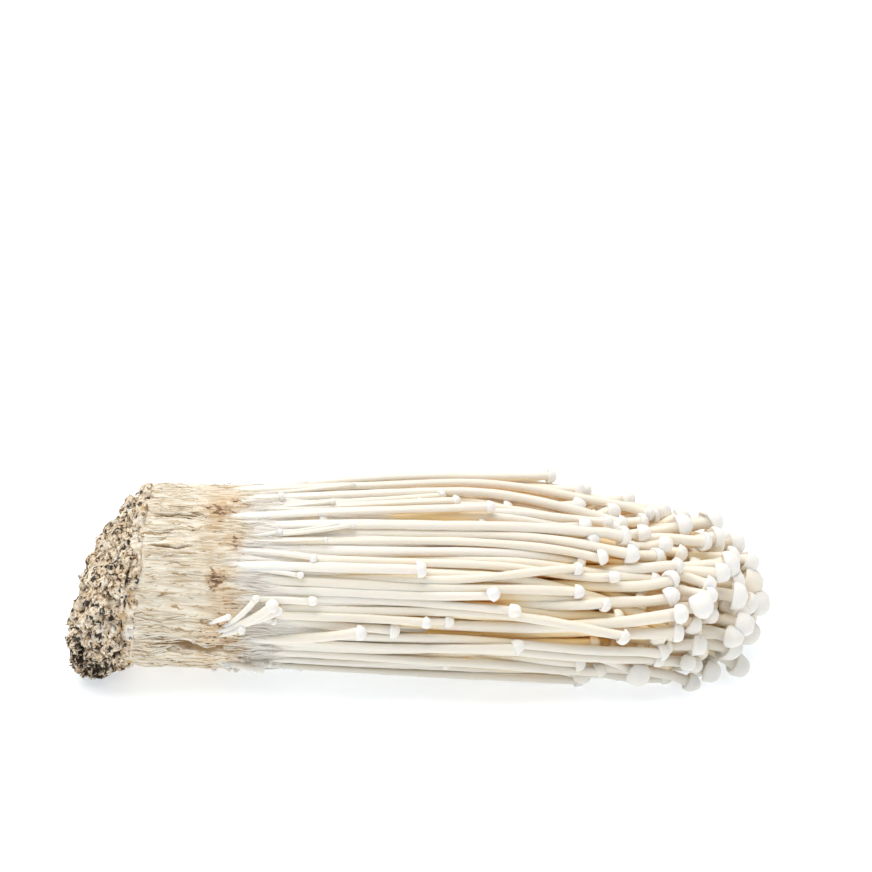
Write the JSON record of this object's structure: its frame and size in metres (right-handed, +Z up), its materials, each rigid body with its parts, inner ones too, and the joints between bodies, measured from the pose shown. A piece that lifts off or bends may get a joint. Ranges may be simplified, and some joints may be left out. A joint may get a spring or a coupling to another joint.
{
  "type": "enoki mushroom bunch",
  "caption": "Bunch of slim white mushrooms with small button caps, fused at the base on a torn lump of sawdust growing plug, lying on its side.",
  "frame": {"origin": "on the surface that the bunch lies on, under the middle of its box", "axes": "+X from the plug to the caps along the bunch, +Z up, -Y the front"},
  "size_m": [0.1645, 0.0647, 0.0444],
  "materials": {
    "mushroom_flesh": "moist satin, slightly translucent, cream white, warmer between the stems",
    "growing_plug": "crumbly damp sawdust and bran held by white mycelium, matte"
  },
  "bodies": {
    "root": {"mushroom_cluster": "mushroom_flesh", "substrate_plug": "growing_plug"}
  },
  "joints": []
}
